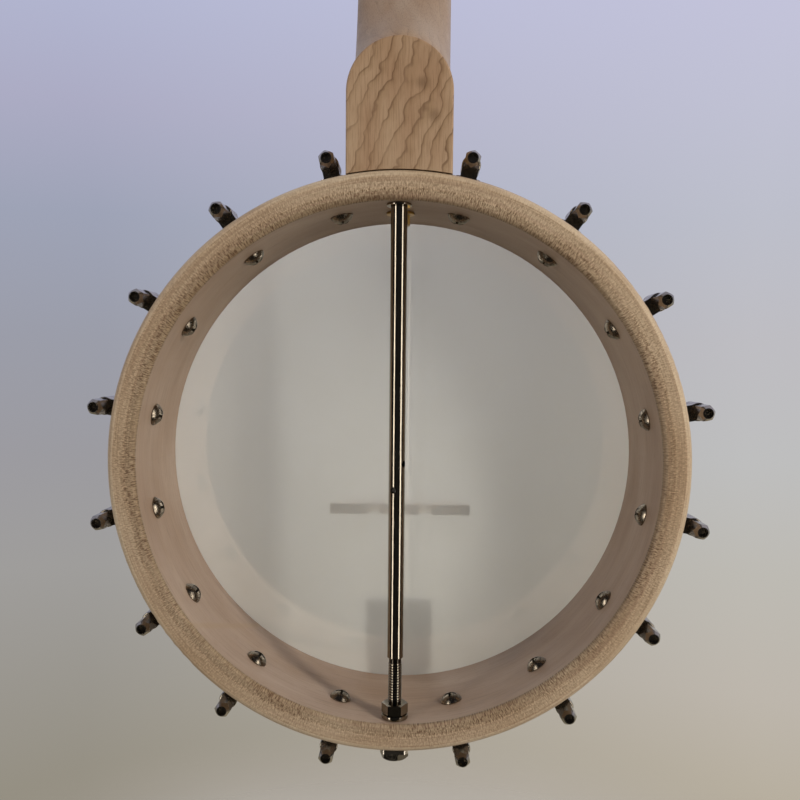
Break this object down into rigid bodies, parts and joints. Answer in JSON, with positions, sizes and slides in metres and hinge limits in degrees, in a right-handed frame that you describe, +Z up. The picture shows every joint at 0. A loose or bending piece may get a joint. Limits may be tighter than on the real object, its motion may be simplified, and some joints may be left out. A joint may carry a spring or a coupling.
{
  "type": "banjo",
  "caption": "Open-back banjo: laminated wooden rim, translucent head on tension hooks, steel rod inside, one-piece neck, geared tuners and a bridge.",
  "frame": {"origin": "middle of the top nut's pot-side edge, on the plane of the fingerboard", "axes": "+Z up the neck towards the peghead, -Y out of the head and fingerboard towards the strings, +X to the right seen from the front; the fifth string is on the -X side"},
  "size_m": [0.3024, 0.0863, 0.9706],
  "materials": {
    "rim_maple": "satin lacquer",
    "neck_maple": "satin lacquer",
    "bridge_maple": "bare, sanded",
    "ebony": "polished",
    "head_film": "translucent, glossy back",
    "hoop_nickel": "polished nickel plate",
    "flesh_aluminium": "satin",
    "bracket_nickel": "polished nickel plate",
    "screw_nickel": "polished nickel plate",
    "rod_steel": "polished steel",
    "lag_steel": "zinc plated",
    "lag_brass": "plain",
    "tailpiece_nickel": "polished nickel plate",
    "fret_wire": "polished nickel silver",
    "dot_black": "satin",
    "nut_bone": "polished bone",
    "tuner_nickel": "polished nickel plate",
    "gear_brass": "machined",
    "button_pearloid": "pearly cream",
    "string_steel": "plain steel",
    "string_wound": "nickel wound"
  },
  "bodies": {
    "banjo": {"rim": "rim_maple", "drum_head": "head_film", "flesh_hoop": "flesh_aluminium", "tension_hoop": "hoop_nickel", "bracket_shoes": "bracket_nickel", "shoe_screws": "screw_nickel", "tension_hooks": "bracket_nickel", "hook_nuts": "bracket_nickel", "coordinator_rod": "rod_steel", "rod_neck_washer": "rod_steel", "rod_tail_washer": "rod_steel", "rod_tail_nut": "rod_steel", "rod_cap_nut": "rod_steel", "lower_lag_bolt": "lag_steel", "upper_lag_bolt": "lag_steel", "upper_lag_nut": "lag_brass", "upper_lag_washer": "lag_brass", "tailpiece_bracket": "tailpiece_nickel", "tailpiece": "tailpiece_nickel", "tailpiece_screw": "screw_nickel", "bridge": "bridge_maple", "bridge_cap": "ebony", "neck": "neck_maple", "frets": "fret_wire", "position_dots": "dot_black", "top_nut": "nut_bone", "fifth_string_nut": "nut_bone", "tuner_housings": "tuner_nickel", "tuner_bushings": "tuner_nickel", "tuner_screws": "screw_nickel", "fifth_peg_body": "tuner_nickel", "string_1": "string_steel", "string_2": "string_steel", "string_3": "string_steel", "string_4": "string_wound", "string_5": "string_steel"},
    "button_1": {"tuner_button_1": "button_pearloid", "worm_shaft_1": "tuner_nickel"},
    "post_1": {"string_post_1": "tuner_nickel", "worm_wheel_1": "gear_brass", "string_winding_1": "string_steel"},
    "button_2": {"tuner_button_2": "button_pearloid", "worm_shaft_2": "tuner_nickel"},
    "post_2": {"string_post_2": "tuner_nickel", "worm_wheel_2": "gear_brass", "string_winding_2": "string_steel"},
    "button_3": {"tuner_button_3": "button_pearloid", "worm_shaft_3": "tuner_nickel"},
    "post_3": {"string_post_3": "tuner_nickel", "worm_wheel_3": "gear_brass", "string_winding_3": "string_steel"},
    "button_4": {"tuner_button_4": "button_pearloid", "worm_shaft_4": "tuner_nickel"},
    "post_4": {"string_post_4": "tuner_nickel", "worm_wheel_4": "gear_brass", "string_winding_4": "string_wound"},
    "peg_button": {"fifth_peg_button": "button_pearloid"},
    "peg_post": {"fifth_peg_post": "tuner_nickel", "string_winding_5": "string_steel"}
  },
  "joints": [
    {"name": "button_1_turn", "type": "hinge", "parent": "banjo", "child": "button_1", "pos_m": [0.015, 0.0306, 0.05539], "axis": [1, 0, 0], "continuous": true},
    {"name": "post_1_turn", "type": "hinge", "parent": "banjo", "child": "post_1", "pos_m": [0.015, 0.0116, 0.05177], "axis": [0, -0.9744, 0.225], "continuous": true},
    {"name": "button_2_turn", "type": "hinge", "parent": "banjo", "child": "button_2", "pos_m": [0.015, 0.0432, 0.10995], "axis": [1, 0, 0], "continuous": true},
    {"name": "post_2_turn", "type": "hinge", "parent": "banjo", "child": "post_2", "pos_m": [0.015, 0.0242, 0.10633], "axis": [0, -0.9744, 0.225], "continuous": true},
    {"name": "button_3_turn", "type": "hinge", "parent": "banjo", "child": "button_3", "pos_m": [-0.015, 0.0432, 0.10995], "axis": [-1, 0, 0], "continuous": true},
    {"name": "post_3_turn", "type": "hinge", "parent": "banjo", "child": "post_3", "pos_m": [-0.015, 0.0242, 0.10633], "axis": [0, -0.9744, 0.225], "continuous": true},
    {"name": "button_4_turn", "type": "hinge", "parent": "banjo", "child": "button_4", "pos_m": [-0.015, 0.0306, 0.05539], "axis": [-1, 0, 0], "continuous": true},
    {"name": "post_4_turn", "type": "hinge", "parent": "banjo", "child": "post_4", "pos_m": [-0.015, 0.0116, 0.05177], "axis": [0, -0.9744, 0.225], "continuous": true},
    {"name": "peg_button_turn", "type": "hinge", "parent": "banjo", "child": "peg_button", "pos_m": [-0.03, 0.0075, -0.14], "axis": [-1, 0, 0], "continuous": true},
    {"name": "peg_post_turn", "type": "hinge", "parent": "banjo", "child": "peg_post", "pos_m": [-0.03, 0.0075, -0.14], "axis": [-1, 0, 0], "continuous": true}
  ],
  "couplings": [
    {"joint": "post_1_turn", "follows": "button_1_turn", "ratio": 0.071429},
    {"joint": "post_2_turn", "follows": "button_2_turn", "ratio": 0.071429},
    {"joint": "post_3_turn", "follows": "button_3_turn", "ratio": 0.071429},
    {"joint": "post_4_turn", "follows": "button_4_turn", "ratio": 0.071429},
    {"joint": "peg_post_turn", "follows": "peg_button_turn", "ratio": 0.25}
  ]
}
